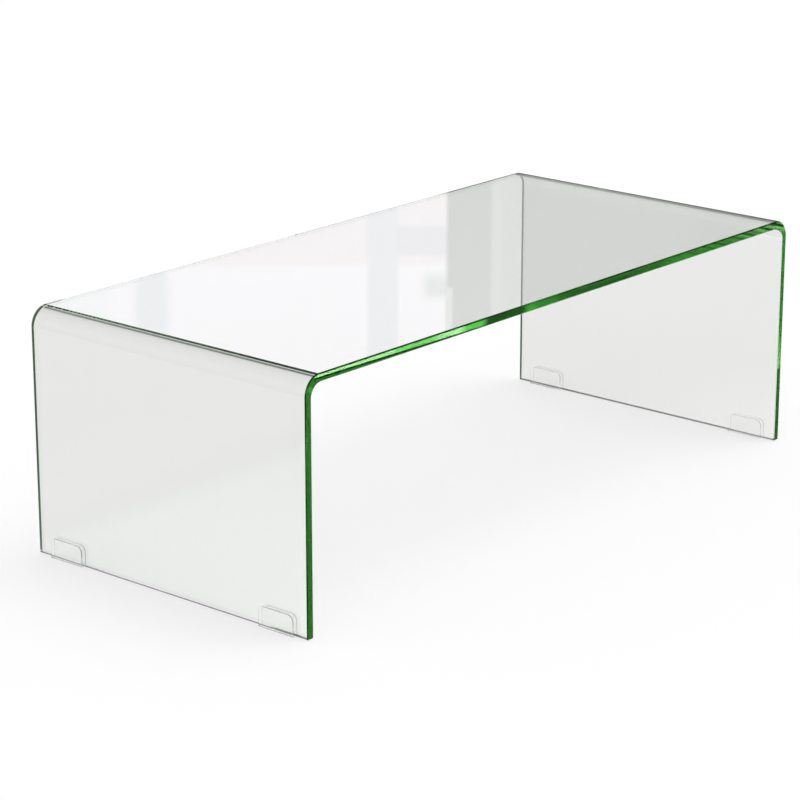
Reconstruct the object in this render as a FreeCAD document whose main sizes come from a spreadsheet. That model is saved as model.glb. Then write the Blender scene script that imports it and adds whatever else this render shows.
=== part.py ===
"""Waterfall coffee table: one bent sheet of glass standing on four clear clip-on foot pads.

Millimetres, +Z up. The origin is on the floor under the middle of the top: +X runs along the
table's length to the right leg and +Y to its rear.
"""
import FreeCAD
import Part
import os
import Sketcher
from FreeCAD import Vector
from math import pi

doc = FreeCAD.newDocument("waterfall_coffee_table")

# Driving dimensions
SIZES = {
    # glass sheet, over its outer faces, and its height from the floor
    "table_length": 1110,
    "table_depth": 512,
    "table_height": 361.5,
    "glass_thickness": 12,
    # the glass swells a little where it is bent, so the two radii are set apart
    "bend_outer_radius": 28,
    "bend_inner_radius": 20,
    # polished 45 degree seam along every sharp edge of the glass
    "arris_width": 1.2,
    # clip-on foot pads: two flaps that grip the glass, joined by a web that it stands on
    "pad_width": 62,
    "pad_height": 30,
    "pad_wall": 1.3,
    "pad_web": 1.3,
    "pad_corner_radius": 9.5,
    "pad_edge_radius": 0.5,
    "pad_end_inset": 25,
    "pad_grip_clearance": 0.1,
}
sheet = doc.addObject("Spreadsheet::Sheet", "Sizes")
for row, (alias, size) in enumerate(SIZES.items(), start=1):
    sheet.set(f"A{row}", alias)
    sheet.set(f"B{row}", str(size))
    sheet.setAlias(f"B{row}", alias)
doc.recompute()

# A sketch's own axes, and the ends of its lines and arcs, as its constraints number them
HORIZONTAL_AXIS, VERTICAL_AXIS = -1, -2
START, END = 1, 2
ORIGIN = (HORIZONTAL_AXIS, START)

# Faces that meet at less than this sine run on smoothly; lengths under this count as none
SMOOTH_SINE, NO_LENGTH = 0.01, 1e-6

SLOT_WIDTH = "Sizes.glass_thickness + 2 * Sizes.pad_grip_clearance"
CLIP_THICKNESS = SLOT_WIDTH + " + 2 * Sizes.pad_wall"
LEG_MIDDLE_X = "(Sizes.table_length - Sizes.glass_thickness) / 2"
PAD_MIDDLE_Y = "Sizes.table_depth / 2 - Sizes.pad_end_inset - Sizes.pad_width / 2"


def value(expression):
    return float(sheet.evalExpression(expression))


def new_body(label):
    body = doc.addObject("PartDesign::Body", label)
    body.Label = label
    return body


def new_sketch(body, name, role):
    """An empty sketch on one of the body's own origin planes."""
    plane = [feature for feature in body.Origin.OriginFeatures if feature.Role == role][0]
    sketch = body.newObject("Sketcher::SketchObject", name)
    sketch.AttachmentSupport = [(plane, "")]
    sketch.MapMode = "FlatFace"
    return sketch


def add_line(sketch, start, end):
    return sketch.addGeometry(Part.LineSegment(Vector(*start, 0), Vector(*end, 0)), False)


def add_quarter(sketch, centre, radius, first_angle):
    """A quarter circle, anticlockwise from its first angle."""
    circle = Part.Circle(Vector(*centre, 0), Vector(0, 0, 1), radius)
    return sketch.addGeometry(Part.ArcOfCircle(circle, first_angle, first_angle + pi / 2), False)


def relate(sketch, kind, *places):
    return sketch.addConstraint(Sketcher.Constraint(kind, *places))


def drive(sketch, name, kind, places, expression):
    """A named dimension of a sketch, bound to the sheet."""
    index = relate(sketch, kind, *places, value(expression))
    sketch.renameConstraint(index, name)
    sketch.setExpression("Constraints." + name, expression)


def pad_both_ways(body, name, sketch, expression):
    """A pad with the sketch's plane in its middle."""
    pad = body.newObject("PartDesign::Pad", name)
    pad.Profile = sketch
    pad.Midplane = True
    pad.setExpression("Length", expression)
    doc.recompute()
    return pad


def sharp_edges(shape):
    """Names of the edges whose two faces meet at an angle, not those where a face runs on smoothly."""
    names = []
    for number, edge in enumerate(shape.Edges, start=1):
        middle = edge.valueAt((edge.FirstParameter + edge.LastParameter) / 2)
        faces = shape.ancestorsOfType(edge, Part.Face)
        first, second = [face.normalAt(*face.Surface.parameter(middle)) for face in faces]
        if first.cross(second).Length > SMOOTH_SINE:
            names.append(f"Edge{number}")
    return names


def rim_edges(shape, outer_x):
    """Names of the edges round the two outer faces of a clip, which lie at plus and minus outer_x."""
    names = []
    for number, edge in enumerate(shape.Edges, start=1):
        box = edge.BoundBox
        if box.XLength < NO_LENGTH and abs(abs(box.XMin) - outer_x) < NO_LENGTH:
            names.append(f"Edge{number}")
    return names


def glass_profile(body):
    """The upside-down U of the sheet, seen from the front."""
    half = value("Sizes.table_length / 2")
    top = value("Sizes.table_height")
    foot = value("Sizes.pad_web")
    outer = value("Sizes.bend_outer_radius")
    inner = value("Sizes.bend_inner_radius")
    inner_half = half - value("Sizes.glass_thickness")
    underside = top - value("Sizes.glass_thickness")
    sketch = new_sketch(body, "glass_profile", "XZ_Plane")
    left_outer = add_line(sketch, (-half, foot), (-half, top - outer))
    left_outer_bend = add_quarter(sketch, (outer - half, top - outer), outer, pi / 2)
    top_face = add_line(sketch, (outer - half, top), (half - outer, top))
    right_outer_bend = add_quarter(sketch, (half - outer, top - outer), outer, 0)
    right_outer = add_line(sketch, (half, top - outer), (half, foot))
    right_foot = add_line(sketch, (half, foot), (inner_half, foot))
    right_inner = add_line(sketch, (inner_half, foot), (inner_half, underside - inner))
    right_inner_bend = add_quarter(sketch, (inner_half - inner, underside - inner), inner, 0)
    under_face = add_line(sketch, (inner_half - inner, underside), (inner - inner_half, underside))
    left_inner_bend = add_quarter(sketch, (inner - inner_half, underside - inner), inner, pi / 2)
    left_inner = add_line(sketch, (-inner_half, underside - inner), (-inner_half, foot))
    left_foot = add_line(sketch, (-inner_half, foot), (-half, foot))

    relate(sketch, "Tangent", left_outer, END, left_outer_bend, END)
    relate(sketch, "Tangent", left_outer_bend, START, top_face, START)
    relate(sketch, "Tangent", top_face, END, right_outer_bend, END)
    relate(sketch, "Tangent", right_outer_bend, START, right_outer, START)
    relate(sketch, "Tangent", right_inner, END, right_inner_bend, START)
    relate(sketch, "Tangent", right_inner_bend, END, under_face, START)
    relate(sketch, "Tangent", under_face, END, left_inner_bend, START)
    relate(sketch, "Tangent", left_inner_bend, END, left_inner, START)
    relate(sketch, "Coincident", right_outer, END, right_foot, START)
    relate(sketch, "Coincident", right_foot, END, right_inner, START)
    relate(sketch, "Coincident", left_inner, END, left_foot, START)
    relate(sketch, "Coincident", left_foot, END, left_outer, START)
    for upright in (left_outer, right_outer, left_inner, right_inner):
        relate(sketch, "Vertical", upright)
    for level in (right_foot, left_foot):
        relate(sketch, "Horizontal", level)
    relate(sketch, "Equal", left_outer_bend, right_outer_bend)
    relate(sketch, "Equal", left_inner_bend, right_inner_bend)
    relate(sketch, "Symmetric", top_face, START, top_face, END, VERTICAL_AXIS)
    relate(sketch, "Symmetric", under_face, START, under_face, END, VERTICAL_AXIS)
    relate(sketch, "Horizontal", left_outer, START, right_outer, END)
    drive(sketch, "length", "DistanceX", (left_outer, START, right_outer, END), "Sizes.table_length")
    drive(sketch, "height", "DistanceY", (*ORIGIN, top_face, START), "Sizes.table_height")
    drive(sketch, "foot_level", "DistanceY", (*ORIGIN, left_outer, START), "Sizes.pad_web")
    across_leg = (right_foot, END, right_foot, START)
    drive(sketch, "leg_thickness", "DistanceX", across_leg, "Sizes.glass_thickness")
    across_top = (under_face, END, top_face, START)
    drive(sketch, "top_thickness", "DistanceY", across_top, "Sizes.glass_thickness")
    drive(sketch, "outer_radius", "Radius", (left_outer_bend,), "Sizes.bend_outer_radius")
    drive(sketch, "inner_radius", "Radius", (left_inner_bend,), "Sizes.bend_inner_radius")
    return sketch


def glass_panel(label):
    """The whole table but its feet: top and both legs bent from one sheet, with seamed edges."""
    body = new_body(label)
    sheet_pad = pad_both_ways(body, "bent_sheet", glass_profile(body), "Sizes.table_depth")
    arris = body.newObject("PartDesign::Chamfer", "polished_arris")
    arris.Base = (sheet_pad, sharp_edges(sheet_pad.Shape))
    arris.setExpression("Size", "Sizes.arris_width")
    return body


def flap_outline(body):
    """A flap of the clip seen from the table's end: square below, with two rounded upper corners."""
    half = value("Sizes.pad_width / 2")
    top = value("Sizes.pad_height")
    corner = value("Sizes.pad_corner_radius")
    sketch = new_sketch(body, "flap_outline", "YZ_Plane")
    base = add_line(sketch, (-half, 0), (half, 0))
    front = add_line(sketch, (half, 0), (half, top - corner))
    front_corner = add_quarter(sketch, (half - corner, top - corner), corner, 0)
    upper = add_line(sketch, (half - corner, top), (corner - half, top))
    rear_corner = add_quarter(sketch, (corner - half, top - corner), corner, pi / 2)
    rear = add_line(sketch, (-half, top - corner), (-half, 0))

    relate(sketch, "Coincident", base, END, front, START)
    relate(sketch, "Tangent", front, END, front_corner, START)
    relate(sketch, "Tangent", front_corner, END, upper, START)
    relate(sketch, "Tangent", upper, END, rear_corner, START)
    relate(sketch, "Tangent", rear_corner, END, rear, START)
    relate(sketch, "Coincident", rear, END, base, START)
    relate(sketch, "Vertical", front)
    relate(sketch, "Vertical", rear)
    relate(sketch, "Horizontal", upper)
    relate(sketch, "Equal", front_corner, rear_corner)
    relate(sketch, "Symmetric", base, START, base, END, VERTICAL_AXIS)
    relate(sketch, "PointOnObject", base, START, HORIZONTAL_AXIS)
    drive(sketch, "width", "DistanceX", (base, START, base, END), "Sizes.pad_width")
    drive(sketch, "height", "DistanceY", (base, END, front_corner, END), "Sizes.pad_height")
    drive(sketch, "corner_radius", "Radius", (front_corner,), "Sizes.pad_corner_radius")
    return sketch


def glass_slot(body):
    """The gap between the flaps, from the top of the web to past the flaps' upper edges."""
    half = value(SLOT_WIDTH) / 2
    floor = value("Sizes.pad_web")
    mouth = floor + value("Sizes.pad_height")
    sketch = new_sketch(body, "glass_slot", "XZ_Plane")
    bottom = add_line(sketch, (-half, floor), (half, floor))
    right = add_line(sketch, (half, floor), (half, mouth))
    over = add_line(sketch, (half, mouth), (-half, mouth))
    left = add_line(sketch, (-half, mouth), (-half, floor))
    ring = (bottom, right, over, left)
    for line, following in zip(ring, ring[1:] + ring[:1]):
        relate(sketch, "Coincident", line, END, following, START)
    relate(sketch, "Vertical", right)
    relate(sketch, "Vertical", left)
    relate(sketch, "Horizontal", over)
    relate(sketch, "Symmetric", bottom, START, bottom, END, VERTICAL_AXIS)
    drive(sketch, "width", "DistanceX", (bottom, START, bottom, END), SLOT_WIDTH)
    drive(sketch, "web", "DistanceY", (*ORIGIN, bottom, END), "Sizes.pad_web")
    drive(sketch, "reach", "DistanceY", (right, START, right, END), "Sizes.pad_height")
    return sketch


def foot_pad(label, side, end):
    """One clip; side is -1 for the left leg, 1 for the right; end is -1 for its front, 1 for its rear."""
    body = new_body(label)
    block = pad_both_ways(body, "clip_block", flap_outline(body), CLIP_THICKNESS)
    slot = body.newObject("PartDesign::Pocket", "slot")
    slot.Profile = glass_slot(body)
    slot.Type = "ThroughAll"
    slot.Midplane = True
    doc.recompute()
    if slot.Shape.Volume >= block.Shape.Volume:
        raise RuntimeError(label + ": the slot takes nothing out of the clip")
    rim = body.newObject("PartDesign::Fillet", "soft_rim")
    rim.Base = (slot, rim_edges(slot.Shape, value(CLIP_THICKNESS) / 2))
    rim.setExpression("Radius", "Sizes.pad_edge_radius")
    body.setExpression(".Placement.Base.x", f"{side} * ({LEG_MIDDLE_X})")
    body.setExpression(".Placement.Base.y", f"{end} * ({PAD_MIDDLE_Y})")
    return body


subparts = [glass_panel("bent_glass_panel")]
for side_name, side in (("left", -1), ("right", 1)):
    for end_name, end in (("front", -1), ("rear", 1)):
        subparts.append(foot_pad(f"foot_pad_{end_name}_{side_name}", side, end))
doc.recompute()

# Nothing is written unless every object built cleanly
for item in doc.Objects:
    if "Invalid" in item.State or "Error" in item.State:
        raise RuntimeError(f"{item.Label} failed: {item.State}")
    if item.isDerivedFrom("Sketcher::SketchObject") and not item.FullyConstrained:
        raise RuntimeError(item.Label + " is not fully constrained")
for body in subparts:
    if body.Shape.isNull() or not body.Shape.isValid() or len(body.Shape.Solids) != 1:
        raise RuntimeError(body.Label + " is not one valid solid")

os.makedirs("parts", exist_ok=True)
for body in subparts:
    body.Shape.exportStep(f"parts/{body.Label}.step")
    box = body.Shape.optimalBoundingBox()
    print(f"{body.Label}: {box.XLength:.2f} x {box.YLength:.2f} x {box.ZLength:.2f} mm,",
          f"volume {body.Shape.Volume / 1000:.2f} cm3")
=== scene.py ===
"""Waterfall coffee table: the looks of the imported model, in metres and in the model's own frame."""
import math

import bmesh
import bpy
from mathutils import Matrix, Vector


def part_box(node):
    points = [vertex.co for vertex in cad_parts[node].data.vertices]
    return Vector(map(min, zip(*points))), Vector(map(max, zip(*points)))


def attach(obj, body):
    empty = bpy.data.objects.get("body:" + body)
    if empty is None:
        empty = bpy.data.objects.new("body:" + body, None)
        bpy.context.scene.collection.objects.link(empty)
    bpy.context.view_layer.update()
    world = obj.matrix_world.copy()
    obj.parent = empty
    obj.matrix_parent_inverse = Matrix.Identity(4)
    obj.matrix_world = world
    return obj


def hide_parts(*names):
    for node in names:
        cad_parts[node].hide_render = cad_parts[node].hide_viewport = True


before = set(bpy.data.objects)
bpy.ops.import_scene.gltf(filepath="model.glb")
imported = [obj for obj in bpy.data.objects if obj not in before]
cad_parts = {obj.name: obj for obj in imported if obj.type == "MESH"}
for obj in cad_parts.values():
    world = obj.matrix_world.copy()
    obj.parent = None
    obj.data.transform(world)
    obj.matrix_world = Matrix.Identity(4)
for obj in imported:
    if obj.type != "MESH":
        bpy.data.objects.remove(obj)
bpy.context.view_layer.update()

BODY = "root"
X, Y, Z = Vector((1, 0, 0)), Vector((0, 1, 0)), Vector((0, 0, 1))


def grey(level):
    """A colour with equal red, green and blue."""
    return (level, level, level)


# Glass sheet, as the solid has it
GLASS_NODE = "bent_glass_panel"
GLASS_THICKNESS = 0.012
BEND_OUTER_RADIUS = 0.028
BEND_INNER_RADIUS = 0.020
BEND_STEPS = 48
# the flat polished seam along its edges, and how much wider it gets along the top's front edge
SEAM_WIDTH = 0.0012
TOP_SEAM_EXTRA = 0.0005
# the sheet is drawn this much clear of the webs that it stands on, so that the two faces don't coincide
SEAT_GAP = 0.00005

# Glass material: what a metre of it takes out of red, green and blue light, and the tint of its faces
GLASS_IOR = 1.52
ABSORPTION = (6.19, 2.985, 6.68)
FACE_TINT = (0.930, 0.892, 0.928)
# share of the absorption node's density that goes to the colour that is taken out most
STRONGEST_SHARE = 0.9
# faint streaks: their share of the tint, and the scale of the noise along each axis and in all
STREAK_STRENGTH = 0.012
STREAK_AXES = (1.0, 12.0, 1.0)
STREAK_SCALE = 9.0
NOISE_DETAIL = 4.0

# Foot pads: clear plastic whose skin varies finely in tint and roughness
PAD_NODES = [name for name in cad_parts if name.startswith("foot_pad")]
PLASTIC_IOR = 1.42
PLASTIC_TINTS = (0.98, 0.985, 0.98), grey(1.0)
LEAST_ROUGHNESS = 0.005
ROUGHNESS_RANGE = 0.03
SKIN_AXES = (1.0, 1.0, 1.0)
SKIN_SCALE = 160.0

# Camera: where it stands, which way it looks and its focal length in pixels of the 800 pixel frame
CAMERA_PLACE = Vector((-3.17965, -2.65177, 1.44903))
CAMERA_AZIMUTH = math.radians(49.5604)
CAMERA_DOWNWARD = math.radians(17.4564)
FOCAL_PIXELS = 2920.06
FRAME_PIXELS = 800
SENSOR_WIDTH = 36.0
VIEW_LIMIT = 100
MOST_BOUNCES = 96
MOST_TRANSPARENT_BOUNCES = 32

# Light: the even level, and for the shadows a lobe from one side with less all round, the same in sum
EVEN_LEVEL = 1.05
ROUND_LEVEL = 0.66
LIGHT_FROM = (0.262, -0.22, 0.94)
LOBE_POWER = 20.0
LOBE_LEVEL = 4.5

# Light in the glass: it has met at least this many surfaces once it has run through the sheet's depth
DEEP_SURFACES = 10
# and fewer than this many where a face has mirrored it, from outside or once from inside
MIRRORED_SURFACES = 4
# surfaces that it crosses: a sheet has two, a pad with the sheet in it six
SHEET_CROSSINGS = 2
TWO_SHEETS_CROSSINGS = 4

# Places of the colour sockets in a Mix node
MIX_FIRST, MIX_SECOND, MIX_RESULT = 6, 7, 2

# Floor: its size and colour, and how far it is lifted to white where it is seen
FLOOR_HALF_WIDTH = 30.0
FLOOR_COLOUR = grey(0.95)
FLOOR_LIFT = 0.68
# painted light and shade on the floor, which only light that the glass has turned or passed shows
EDGE_PAINTED_SHADE = (0.1, 0.125, 0.1)
LEFT_PAINTED_LIGHT = (1.9, 2.25, 1.9)
BEND_PAINTED_SHADE = grey(0.3)
FAR_PAINTED_SHADE = grey(0.86)
# painted light on the floor for light through the sheet's depth; behind the right leg from further off to
# close by
DEEP_PAINTED_LIGHT = grey(1.25)
DEEP_MIDDLE_PAINTED_LIGHT = (2.3, 2.2, 2.2)
DEEP_RIGHT_PAINTED_LIGHT = grey(1.9)
DEEP_FOOT_PAINTED_LIGHTS = (2.2, 2.2, 1.8), (10.5, 4.1, 11.0)
# slanted axes on the floor: Y plus this much of X
FLOOR_SLANTS = {"left slant": 1.107, "right slant": 0.78, "far slant": -0.8}
# parts of the floor that bound the painted light and shade: soft limits, each with its axis, where the part
# starts and where it is full
FLOOR_PARTS = {
    "before rear edge": [("y", 0.337, 0.2245)],
    "beside left leg": [("x", -0.55, -0.565), ("y", -0.275, -0.262)],
    "inside left leg": [("x", -0.565, -0.55)],
    "before table": [("y", -0.262, -0.275)],
    "not far before": [("y", -0.68, -0.63)],
    "away from right leg": [("x", 0.38, 0.36)],
    "left sector": [("left slant", -0.15, -0.25)],
    "right sector": [("x", 0.55, 0.565), ("right slant", 0.44, 0.5)],
    "far before": [("x", 0.15, 0.25), ("y", -0.745, -0.765)],
    "line before": [("x", 0.31, 0.35), ("x", 1.54, 1.50), ("y", -0.765, -0.745), ("y", -0.645, -0.665)],
    "right rear": [("x", 0.60, 0.75), ("y", 0.28, 0.34)],
    "far right": [("x", 1.9, 2.3), ("far slant", 0.1, -0.1)],
    "behind": [("y", 0.235, 0.265)],
    "well before": [("y", -0.265, -0.30)],
    "behind middle": [("x", -0.46, -0.40), ("x", 0.0, -0.06), ("y", 0.36, 0.44), ("y", 0.82, 0.74)],
    "behind right": [("x", 0.0, 0.25), ("y", 0.88, 0.72)],
    "right foot": [("x", 0.225, 0.375), ("x", 0.875, 0.725), ("y", 0.55, 0.45)],
    "close to right foot": [("y", 0.42, 0.27)],
}

# Room that reflections and the glass edges show, by azimuth from +Y towards +X and elevation, in degrees.
# Walls: pale ahead of the camera; a step has where it starts, where it is full and its colour
PALE_WALL = (0.66, 0.67, 0.66)
PALE_WALL_ACROSS = [(54.8, 56.0, (0.62, 0.63, 0.62))]
PALE_WALL_UP = [(16.2, 16.8, grey(0.46)), (18.6, 20.0, grey(0.28)), (12.7, 12.3, grey(0.12))]
PALE_AZIMUTHS, PALE_SOFT = (20.0, 75.0), 30.0
# the other walls are paler where a face mirrors them than where the edges turn the light that way
DIM_WALL = grey(0.15)
LEFT_WALL_AZIMUTHS, LEFT_WALL_SOFT = (-80.0, -33.0), 8.0
RIGHT_WALL_AZIMUTHS, RIGHT_WALL_SOFT = (98.0, 148.0), 6.0
WALL_TOP = (34.0, 24.0)
# a patch has its azimuths, its elevations, the softness of its borders and its colour
ALL_ELEVATIONS = None
# a second window on the right, which the top's rear edge shows
SECOND_WINDOW = ((129.49, 142.0), (10.0, 20.0), 0.12, (1.15, 1.12, 1.16))
WALL_PATCHES = [
    ((50.2, 51.4), ALL_ELEVATIONS, 0.1, (0.50, 0.525, 0.505)),
    ((51.45, 51.62), ALL_ELEVATIONS, 0.12, (0.71, 0.72, 0.71)),
    ((-60.0, -51.0), (11.0, 20.0), 2.0, grey(1.6)),
    ((-50.0, -38.0), (17.0, 24.0), 2.0, grey(0.46)),
    SECOND_WINDOW,
]
# window: dimmer below than above, with its bars, and a pale sliver over its right border
WINDOW_AZIMUTHS, WINDOW_ELEVATIONS, WINDOW_SOFT = (38.0, 50.51), (12.4, 19.5), 0.12
WINDOW_BELOW = (1.13, 1.045, 1.105)
WINDOW_UP = [(14.72, 14.88, (1.22, 1.165, 1.27))]
WINDOW_PATCHES = [
    ((44.2, 44.85), ALL_ELEVATIONS, 0.3, (0.955, 0.95, 1.06)),
    ((40.0, 43.7), ALL_ELEVATIONS, 0.2, (1.15, 1.13, 1.21)),
    ((48.9, 50.6), (14.05, 14.62), 0.12, (0.96, 0.90, 1.0)),
    ((48.9, 49.52), (13.7, 30.0), 0.12, (0.97, 0.96, 1.06)),
    ((50.05, 50.6), (15.0, 15.45), 0.3, (0.88, 0.88, 0.93)),
]
WINDOW_SLIVER = ((50.50, 50.625), (15.25, 16.6), 0.06, (0.84, 0.85, 0.855))
# the same wall as light through the sheet's depth shows it: the window, then the uneven wall to its right
DEEP_ROOM = grey(1.15)
DEEP_WALL_AZIMUTHS, DEEP_WALL_ELEVATIONS, DEEP_WALL_SOFT = (30.0, 65.0), (11.0, 17.2), 0.5
DEEP_WINDOW = (17.5, 6.4, 19.5)
DEEP_WALL_ACROSS = [
    (49.40, 49.55, (8.7, 5.2, 9.4)),
    (50.25, 50.40, (19.0, 6.9, 21.0)),
    (50.80, 50.95, (5.0, 4.4, 5.0)),
    (51.22, 51.38, grey(0.62)),
    (52.05, 52.20, (2.6, 2.6, 2.4)),
    (52.28, 52.42, (1.65, 1.7, 1.6)),
    (52.70, 52.82, (1.05, 1.05, 1.0)),
    (52.92, 53.08, (0.72, 0.72, 0.70)),
    (54.00, 54.60, grey(1.0)),
    (55.00, 55.60, grey(2.4)),
    (56.00, 56.50, (6.0, 3.6, 5.5)),
]
# floor of the room: white below the table, dim further off, and bright on the left close to the table,
# there below an elevation that falls with the azimuth from a certain one on
FAR_GROUND = grey(0.05)
GROUND_DOWN = [(-24.0, -32.0, grey(1.0))]
NEAR_GROUND = (1.6, 1.65, 1.66)
NEAR_AZIMUTHS, NEAR_SOFT, NEAR_BORDER = (-85.0, -20.0), 20.0, (-16.5, -21.0)
NEARER_AZIMUTHS, NEARER_SOFT, NEARER_BORDER = (-75.0, -51.0), 2.0, (-16.4, -18.6)
LEAN, LEAN_FROM = 0.25, -47.0
HORIZON = (1.0, -1.0)
# white haze behind the glass, so that a level view through it has no dark horizon
HAZE_COLOUR, HAZE_BORDER = grey(1.0), (9.0, 5.0)


def glass_stations():
    """Cross-sections from the left foot to the right one: outer point, inner point and outward normal."""
    low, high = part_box(GLASS_NODE)
    foot = (low.z + SEAT_GAP + SEAM_WIDTH) * Z
    outer_centre = (high.x - BEND_OUTER_RADIUS) * X + (high.z - BEND_OUTER_RADIUS) * Z
    inset = GLASS_THICKNESS + BEND_INNER_RADIUS
    inner_centre = (high.x - inset) * X + (high.z - inset) * Z
    right = []
    for step in range(BEND_STEPS + 1):
        angle = math.pi / 2 * (1 - step / BEND_STEPS)
        normal = math.cos(angle) * X + math.sin(angle) * Z
        outer = outer_centre + BEND_OUTER_RADIUS * normal
        inner = inner_centre + BEND_INNER_RADIUS * normal
        right.append((outer, inner, normal))
    right.append((high.x * X + foot, (high.x - GLASS_THICKNESS) * X + foot, X))
    mirror = Vector((-1, 1, 1))
    left = [tuple(part * mirror for part in station) for station in reversed(right)]
    return left + right


def glass_corners(outer, inner, normal):
    """A cross-section's four corners: place, directions of the faces that meet there and the seam's width."""
    low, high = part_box(GLASS_NODE)
    front, rear = low.y * Y, high.y * Y
    return (
        (outer + front, -Y, normal, SEAM_WIDTH + TOP_SEAM_EXTRA * normal.z),
        (outer + rear, normal, Y, SEAM_WIDTH),
        (inner + rear, Y, -normal, SEAM_WIDTH),
        (inner + front, -normal, -Y, SEAM_WIDTH),
    )


def glass_panel():
    """The bent sheet with its flat seams: one closed mesh whose face corners carry the true normals."""
    mesh = bmesh.new()
    normals = {}

    def face(*corners):
        made = mesh.faces.new([vertex for vertex, normal in corners])
        normals[made] = {vertex: normal.normalized() for vertex, normal in corners}

    stations = glass_stations()
    rings = []
    for station in stations:
        ring = []
        for corner, first, second, seam in glass_corners(*station):
            for inward, facing in ((-second, first + second), (-first, second)):
                ring.append((mesh.verts.new(corner + seam * inward), facing))
        rings.append(ring)
    sides = len(rings[0])
    for ring, following in zip(rings, rings[1:]):
        for side in range(sides):
            after = (side + 1) % sides
            here, there = ring[side][1], following[side][1]
            face(ring[side], (ring[after][0], here), (following[after][0], there), following[side])
    for ring, station in ((rings[0], stations[0]), (rings[-1], stations[-1])):
        sole = []
        for corner, first, second, seam in glass_corners(*station):
            sole.append(mesh.verts.new(corner - seam * (first + second) - SEAM_WIDTH * Z))
        face(*((vertex, -Z) for vertex in sole))
        for side in range(sides):
            facing = ring[side][1].normalized() - Z
            corner, after = sole[side // 2], sole[(side + 1) // 2 % len(sole)]
            points = [ring[side][0], ring[(side + 1) % sides][0], after, corner]
            face(*((vertex, facing) for vertex in dict.fromkeys(points)))
    bmesh.ops.recalc_face_normals(mesh, faces=mesh.faces)
    return finished_object(mesh, normals, "bent_glass_panel_fine")


def finished_object(mesh, normals, name):
    """Turns a bmesh into a smooth-shaded object whose face corners have the given normals."""
    held = []
    for face in mesh.faces:
        face.smooth = True
        held += [normals[face][loop.vert] for loop in face.loops]
    data = bpy.data.meshes.new(name)
    mesh.to_mesh(data)
    mesh.free()
    data.normals_split_custom_set(held)
    return linked_object(name, data)


def linked_object(name, data):
    thing = bpy.data.objects.new(name, data)
    bpy.context.scene.collection.objects.link(thing)
    return thing


def set_colour(tree, socket, colour):
    """Gives a socket a colour, as a link or as plain red, green and blue."""
    if isinstance(colour, bpy.types.NodeSocket):
        tree.links.new(colour, socket)
    else:
        socket.default_value = (*colour, 1)


def math_node(tree, operation, *values):
    """A Math node whose inputs are links or plain numbers; returns its output."""
    node = tree.nodes.new("ShaderNodeMath")
    node.operation = operation
    for socket, value in zip(node.inputs, values):
        if isinstance(value, bpy.types.NodeSocket):
            tree.links.new(value, socket)
        else:
            socket.default_value = value
    return node.outputs[0]


def product(tree, *values):
    result = values[0]
    for value in values[1:]:
        result = math_node(tree, "MULTIPLY", result, value)
    return result


def greatest(tree, *values):
    result = values[0]
    for value in values[1:]:
        result = math_node(tree, "MAXIMUM", result, value)
    return result


def opposite(tree, factor):
    return math_node(tree, "SUBTRACT", 1.0, factor)


def at_least(tree, value, count):
    """1 where a whole number is this count or more."""
    return math_node(tree, "GREATER_THAN", value, count - 0.5)


def fewer_than(tree, value, count):
    """1 where a whole number is less than this count."""
    return math_node(tree, "LESS_THAN", value, count - 0.5)


def exactly(tree, value, count):
    """1 where a whole number is this count."""
    return product(tree, at_least(tree, value, count), fewer_than(tree, value, count + 1))


def ramp(tree, value, start, end):
    """A smooth rise from 0 at start to 1 at end, or a fall where end is the lower of the two."""
    node = tree.nodes.new("ShaderNodeMapRange")
    node.interpolation_type = "SMOOTHSTEP"
    tree.links.new(value, node.inputs["Value"])
    low, high = (start, end) if start < end else (end, start)
    node.inputs["From Min"].default_value = low
    node.inputs["From Max"].default_value = high
    node.inputs["To Min"].default_value = 0.0 if start < end else 1.0
    node.inputs["To Max"].default_value = 1.0 if start < end else 0.0
    return node.outputs["Result"]


def band(tree, value, low, high, soft):
    """1 between low and high and 0 outside, with soft borders."""
    rise = ramp(tree, value, low - soft / 2, low + soft / 2)
    fall = ramp(tree, value, high + soft / 2, high - soft / 2)
    return product(tree, rise, fall)


def blend(tree, factor, first, second):
    """Mixes two colours, links or plain, by a factor."""
    node = tree.nodes.new("ShaderNodeMix")
    node.data_type = "RGBA"
    tree.links.new(factor, node.inputs["Factor"])
    set_colour(tree, node.inputs[MIX_FIRST], first)
    set_colour(tree, node.inputs[MIX_SECOND], second)
    return node.outputs[MIX_RESULT]


def stepped(tree, value, colour, steps):
    """A colour that changes step by step along a value."""
    for start, full, following in steps:
        colour = blend(tree, ramp(tree, value, start, full), colour, following)
    return colour


def mixed_shader(tree, factor, first, second):
    node = tree.nodes.new("ShaderNodeMixShader")
    for socket, value in zip(node.inputs, (factor, first, second)):
        tree.links.new(value, socket)
    return node.outputs[0]


def new_material(name):
    material = bpy.data.materials.new(name)
    material.use_nodes = True
    tree = material.node_tree
    return material, tree, tree.nodes["Principled BSDF"]


def grain(tree, axes, scale):
    """A noise from 0 to 1 over the piece, with its own scale along each axis."""
    place = tree.nodes.new("ShaderNodeTexCoord")
    mapping = tree.nodes.new("ShaderNodeMapping")
    mapping.inputs["Scale"].default_value = axes
    tree.links.new(place.outputs["Object"], mapping.inputs["Vector"])
    noise = tree.nodes.new("ShaderNodeTexNoise")
    noise.inputs["Scale"].default_value = scale
    noise.inputs["Detail"].default_value = NOISE_DETAIL
    tree.links.new(mapping.outputs["Vector"], noise.inputs["Vector"])
    return noise.outputs[0]


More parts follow.
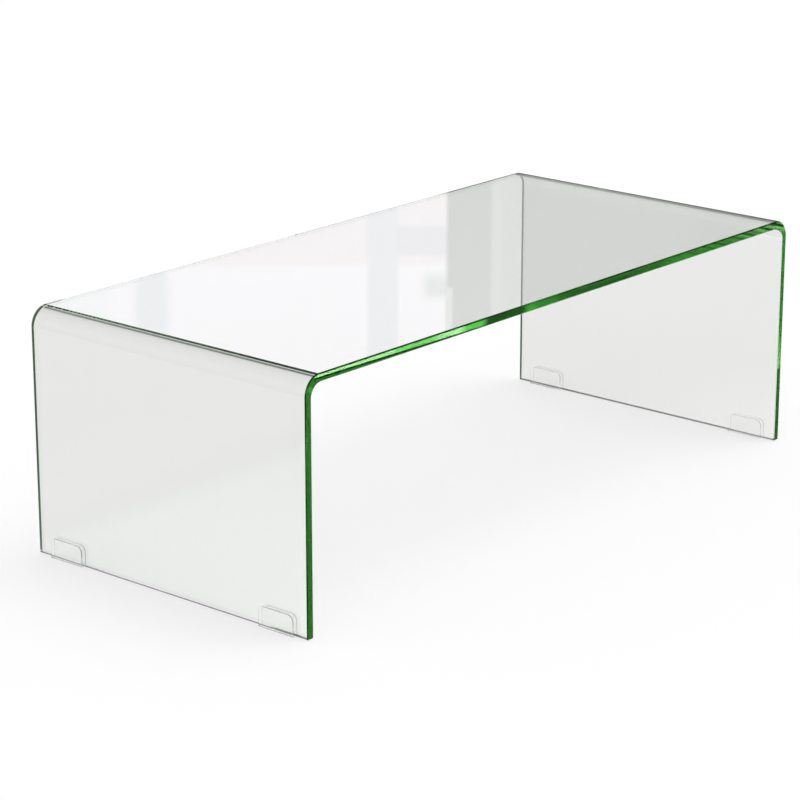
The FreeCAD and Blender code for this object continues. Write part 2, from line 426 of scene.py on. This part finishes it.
def glass_material():
    """Clear float glass: clear to look through, green in depth, with faint streaks the way it was drawn."""
    material, tree, shader = new_material("clear_glass")
    dark = [(1 - STREAK_STRENGTH) * part for part in FACE_TINT]
    pale = [(1 + STREAK_STRENGTH) * part for part in FACE_TINT]
    streaks = grain(tree, STREAK_AXES, STREAK_SCALE)
    tree.links.new(blend(tree, streaks, dark, pale), shader.inputs["Base Color"])
    shader.inputs["Transmission Weight"].default_value = 1.0
    shader.inputs["IOR"].default_value = GLASS_IOR
    shader.inputs["Roughness"].default_value = 0.0
    depth = tree.nodes.new("ShaderNodeVolumeAbsorption")
    density = max(ABSORPTION) / STRONGEST_SHARE
    depth.inputs["Density"].default_value = density
    depth.inputs["Color"].default_value = (*(1 - part / density for part in ABSORPTION), 1)
    tree.links.new(depth.outputs[0], tree.nodes["Material Output"].inputs["Volume"])
    return material


def plastic_material():
    """Clear moulded plastic, a little less glossy than the glass, with a fine uneven skin."""
    material, tree, shader = new_material("clear_plastic")
    skin = grain(tree, SKIN_AXES, SKIN_SCALE)
    tree.links.new(blend(tree, skin, *PLASTIC_TINTS), shader.inputs["Base Color"])
    roughness = math_node(tree, "MULTIPLY_ADD", skin, ROUGHNESS_RANGE, LEAST_ROUGHNESS)
    tree.links.new(roughness, shader.inputs["Roughness"])
    shader.inputs["Transmission Weight"].default_value = 1.0
    shader.inputs["IOR"].default_value = PLASTIC_IOR
    return material


def deep_light(tree, path):
    """1 for light that has run through the sheet's depth, in at one edge and out at another."""
    long_way = at_least(tree, path.outputs["Ray Depth"], DEEP_SURFACES)
    return product(tree, long_way, crossed_at_most(tree, path, SHEET_CROSSINGS))


def crossed_at_most(tree, path, surfaces):
    """1 for light that has gone through no more surfaces than this."""
    return fewer_than(tree, path.outputs["Transmission Depth"], surfaces + 1)


def floor_parts(tree):
    """The named parts of the floor, each a factor from 0 to 1."""
    place = tree.nodes.new("ShaderNodeNewGeometry")
    split = tree.nodes.new("ShaderNodeSeparateXYZ")
    tree.links.new(place.outputs["Position"], split.inputs[0])
    axes = {"x": split.outputs["X"], "y": split.outputs["Y"]}
    for name, slope in FLOOR_SLANTS.items():
        axes[name] = math_node(tree, "MULTIPLY_ADD", axes["x"], slope, axes["y"])
    parts = {}
    for name, limits in FLOOR_PARTS.items():
        parts[name] = product(tree, *(ramp(tree, axes[axis], start, full) for axis, start, full in limits))
    return parts


def painted_shade_on_floor(tree, path, part):
    """Where painted shade darkens the floor, only for light that the rear edges, the left bend or the top has
    turned.
    """
    turns = path.outputs["Glossy Depth"]
    # painted shade for light turned at the rear edge of the left leg, and of the right leg and the top's
    # right end
    left_edge = greatest(tree, part["inside left leg"], part["before table"])
    reached = greatest(tree, part["not far before"], part["away from right leg"])
    left_edge = product(tree, left_edge, reached, part["left sector"])
    right_edge = part["right sector"]
    # the rear edge of the left bend shows painted shade on the floor far in front, and the top's rear edge a
    # line of it left bright
    left_bend = part["far before"]
    often = product(tree, at_least(tree, turns, 2), opposite(tree, part["line before"]))
    edges = greatest(tree, left_edge, right_edge, left_bend, often)
    crossed = crossed_at_most(tree, path, TWO_SHEETS_CROSSINGS)
    return product(tree, at_least(tree, turns, 1), part["before rear edge"], crossed, edges)


def painted_deep_light_on_floor(tree, part):
    """Painted light on the floor for light through the sheet's depth: brightest close behind the right leg.
    """
    foot_painted_light = blend(tree, part["close to right foot"], *DEEP_FOOT_PAINTED_LIGHTS)
    level = blend(tree, part["behind middle"], DEEP_PAINTED_LIGHT, DEEP_MIDDLE_PAINTED_LIGHT)
    level = blend(tree, part["behind right"], level, DEEP_RIGHT_PAINTED_LIGHT)
    return blend(tree, part["right foot"], level, foot_painted_light)


def floor_layers(tree):
    """What is laid over the plain floor, from the lowest up: where and for which light, and its colour. After
    the lift to white come painted shade and painted light that only the glass shows.
    """
    path = tree.nodes.new("ShaderNodeLightPath")
    part = floor_parts(tree)
    rays = ("Is Camera Ray", "Is Glossy Ray", "Is Transmission Ray")
    seen = greatest(tree, *(path.outputs[ray] for ray in rays))
    turns = path.outputs["Glossy Depth"]
    once = exactly(tree, turns, 1)
    mirrored = product(tree, once, fewer_than(tree, path.outputs["Ray Depth"], MIRRORED_SURFACES))
    through = exactly(tree, path.outputs["Transmission Depth"], SHEET_CROSSINGS)
    through = product(tree, through, fewer_than(tree, turns, 1))
    around = greatest(tree, part["behind"], part["well before"])
    return (
        (product(tree, seen, FLOOR_LIFT), grey(1.0)),
        # painted shade: a dark floor that only light turned by the glass edges shows
        (painted_shade_on_floor(tree, path, part), EDGE_PAINTED_SHADE),
        # painted light: a floor brighter than white beside the left leg, shown only in light mirrored once
        (product(tree, mirrored, part["before rear edge"], part["beside left leg"]), LEFT_PAINTED_LIGHT),
        # painted shade: a dim floor to the right rear, shown only in light turned once
        (product(tree, once, part["right rear"]), BEND_PAINTED_SHADE),
        # painted shade: a slightly dim floor far to the right, shown only through one sheet
        (product(tree, through, part["far right"]), FAR_PAINTED_SHADE),
        # painted light: bright floor that only light through the sheet's depth shows
        (product(tree, deep_light(tree, path), around), painted_deep_light_on_floor(tree, part)),
    )


def floor_material():
    """Pale and matt, lifted to white where it is seen, with painted light and shade that the glass shows laid
    over it.
    """
    material, tree, shader = new_material("studio_floor")
    set_colour(tree, shader.inputs["Base Color"], FLOOR_COLOUR)
    shader.inputs["Roughness"].default_value = 1.0
    shader.inputs["Specular IOR Level"].default_value = 0.0
    surface = shader.outputs[0]
    for factor, colour in floor_layers(tree):
        # each layer is an emission: the even lift to white, or painted light or painted shade
        glow = tree.nodes.new("ShaderNodeEmission")
        set_colour(tree, glow.inputs["Color"], colour)
        surface = mixed_shader(tree, factor, surface, glow.outputs[0])
    tree.links.new(surface, tree.nodes["Material Output"].inputs["Surface"])
    return material


def floor():
    """A wide floor that takes the table's shadow; outer reflections show the room's own floor instead."""
    half = FLOOR_HALF_WIDTH
    corners = [(-half, -half, 0), (half, -half, 0), (half, half, 0), (-half, half, 0)]
    data = bpy.data.meshes.new("studio_floor")
    data.from_pydata(corners, [], [(0, 1, 2, 3)])
    data.materials.append(floor_material())
    thing = linked_object("studio_floor", data)
    thing.visible_glossy = False


def studio_world():
    """Soft light from all round, stronger from the right, and the room that reflections and edges show."""
    world = bpy.data.worlds.new("studio")
    bpy.context.scene.world = world
    world.use_nodes = True
    tree = world.node_tree
    direction = tree.nodes.new("ShaderNodeTexCoord").outputs["Generated"]
    path = tree.nodes.new("ShaderNodeLightPath")
    even = tree.nodes["Background"]
    set_colour(tree, even.inputs["Color"], grey(1.0))
    tree.links.new(light_level(tree, direction, path), even.inputs["Strength"])
    room = tree.nodes.new("ShaderNodeBackground")
    tree.links.new(room_colour(tree, direction, path), room.inputs["Color"])
    seen = greatest(tree, path.outputs["Is Glossy Ray"], path.outputs["Is Transmission Ray"])
    unscattered = fewer_than(tree, path.outputs["Diffuse Depth"], 1)
    surface = mixed_shader(tree, product(tree, seen, unscattered), even.outputs[0], room.outputs[0])
    tree.links.new(surface, tree.nodes["World Output"].inputs["Surface"])


def light_level(tree, direction, path):
    """An even level, and for the floor's own light a soft lobe from above right with less all round."""
    along = tree.nodes.new("ShaderNodeVectorMath")
    along.operation = "DOT_PRODUCT"
    tree.links.new(direction, along.inputs[0])
    along.inputs[1].default_value = Vector(LIGHT_FROM).normalized()
    lobe = math_node(tree, "POWER", greatest(tree, along.outputs["Value"], 0.0), LOBE_POWER)
    shaded = math_node(tree, "MULTIPLY_ADD", lobe, LOBE_LEVEL, ROUND_LEVEL)
    change = math_node(tree, "SUBTRACT", shaded, EVEN_LEVEL)
    scattered = at_least(tree, path.outputs["Diffuse Depth"], 1)
    return math_node(tree, "MULTIPLY_ADD", change, scattered, EVEN_LEVEL)


def room_colour(tree, direction, path):
    """Walls, windows and floor of the room, by azimuth and elevation in degrees."""
    split = tree.nodes.new("ShaderNodeSeparateXYZ")
    tree.links.new(direction, split.inputs[0])
    x, y, z = split.outputs
    azimuth = math_node(tree, "MULTIPLY", math_node(tree, "ARCTAN2", x, y), 180 / math.pi)
    elevation = math_node(tree, "MULTIPLY", math_node(tree, "ARCSINE", z), 180 / math.pi)
    view = azimuth, elevation

    window = patch(tree, view, WINDOW_AZIMUTHS, WINDOW_ELEVATIONS, WINDOW_SOFT)
    outside = stepped(tree, elevation, WINDOW_BELOW, WINDOW_UP)
    outside = patched(tree, view, outside, WINDOW_PATCHES)
    colour = blend(tree, window, wall_colour(tree, view, path), outside)
    colour = patched(tree, view, colour, [WINDOW_SLIVER])
    deep = deep_light(tree, path)
    colour = blend(tree, deep, colour, DEEP_ROOM)
    deep_wall = patch(tree, view, DEEP_WALL_AZIMUTHS, DEEP_WALL_ELEVATIONS, DEEP_WALL_SOFT)
    deep_colour = stepped(tree, azimuth, DEEP_WINDOW, DEEP_WALL_ACROSS)
    colour = blend(tree, product(tree, deep, deep_wall), colour, deep_colour)
    colour = blend(tree, ramp(tree, elevation, *HORIZON), colour, ground_colour(tree, view))
    unturned = fewer_than(tree, path.outputs["Glossy Depth"], 1)
    haze = product(tree, unturned, ramp(tree, elevation, *HAZE_BORDER))
    return blend(tree, haze, colour, HAZE_COLOUR)


def patch(tree, view, azimuths, elevations, soft):
    """1 in the part of the room between two azimuths and two elevations."""
    azimuth, elevation = view
    across = band(tree, azimuth, *azimuths, soft)
    if elevations is ALL_ELEVATIONS:
        return across
    return product(tree, across, band(tree, elevation, *elevations, soft))


def patched(tree, view, colour, patches):
    """A colour with patches laid over it one after the other."""
    for azimuths, elevations, soft, patch_colour in patches:
        colour = blend(tree, patch(tree, view, azimuths, elevations, soft), colour, patch_colour)
    return colour


def wall_colour(tree, view, path):
    """The walls: pale ahead of the camera and dim above that, dim beside it and behind it for the edges."""
    azimuth, elevation = view
    surfaces = path.outputs["Ray Depth"]
    left_wall = band(tree, azimuth, *LEFT_WALL_AZIMUTHS, LEFT_WALL_SOFT)
    right_wall = band(tree, azimuth, *RIGHT_WALL_AZIMUTHS, RIGHT_WALL_SOFT)
    right_wall = product(tree, right_wall, at_least(tree, surfaces, 2))
    faced = opposite(tree, greatest(tree, left_wall, right_wall))
    faced = product(tree, faced, fewer_than(tree, surfaces, MIRRORED_SURFACES))
    faced = product(tree, faced, ramp(tree, elevation, *WALL_TOP))
    pale = stepped(tree, azimuth, PALE_WALL, PALE_WALL_ACROSS)
    pale = stepped(tree, elevation, pale, PALE_WALL_UP)
    colour = blend(tree, faced, DIM_WALL, PALE_WALL)
    colour = blend(tree, band(tree, azimuth, *PALE_AZIMUTHS, PALE_SOFT), colour, pale)
    return patched(tree, view, colour, WALL_PATCHES)


def ground_colour(tree, view):
    """The floor as outer reflections show it."""
    azimuth, elevation = view
    ground = stepped(tree, elevation, FAR_GROUND, GROUND_DOWN)
    lean = math_node(tree, "MULTIPLY_ADD", azimuth, LEAN, -LEAN * LEAN_FROM)
    leaning = math_node(tree, "ADD", elevation, greatest(tree, lean, 0.0))
    near = band(tree, azimuth, *NEAR_AZIMUTHS, NEAR_SOFT)
    near = product(tree, near, ramp(tree, leaning, *NEAR_BORDER))
    ground = blend(tree, near, ground, NEAR_GROUND)
    nearer = band(tree, azimuth, *NEARER_AZIMUTHS, NEARER_SOFT)
    nearer = product(tree, nearer, ramp(tree, elevation, *NEARER_BORDER))
    return blend(tree, nearer, ground, NEAR_GROUND)


def camera():
    data = bpy.data.cameras.new("camera")
    data.sensor_width = SENSOR_WIDTH
    data.lens = FOCAL_PIXELS / FRAME_PIXELS * SENSOR_WIDTH
    data.clip_end = VIEW_LIMIT
    thing = linked_object("camera", data)
    thing.location = CAMERA_PLACE
    thing.rotation_euler = (math.pi / 2 - CAMERA_DOWNWARD, 0, -CAMERA_AZIMUTH)
    bpy.context.scene.camera = thing


def render_settings():
    """Light runs the whole depth of the sheet between its faces, so it is followed through many bounces."""
    scene = bpy.context.scene
    scene.view_settings.view_transform = "Standard"
    scene.cycles.max_bounces = MOST_BOUNCES
    scene.cycles.glossy_bounces = MOST_BOUNCES
    scene.cycles.transmission_bounces = MOST_BOUNCES
    scene.cycles.transparent_max_bounces = MOST_TRANSPARENT_BOUNCES


glass = glass_panel()
glass.data.materials.append(glass_material())
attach(glass, BODY)
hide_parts(GLASS_NODE)
plastic = plastic_material()
for name in PAD_NODES:
    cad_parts[name].material_slots[0].material = plastic
floor()
studio_world()
camera()
render_settings()
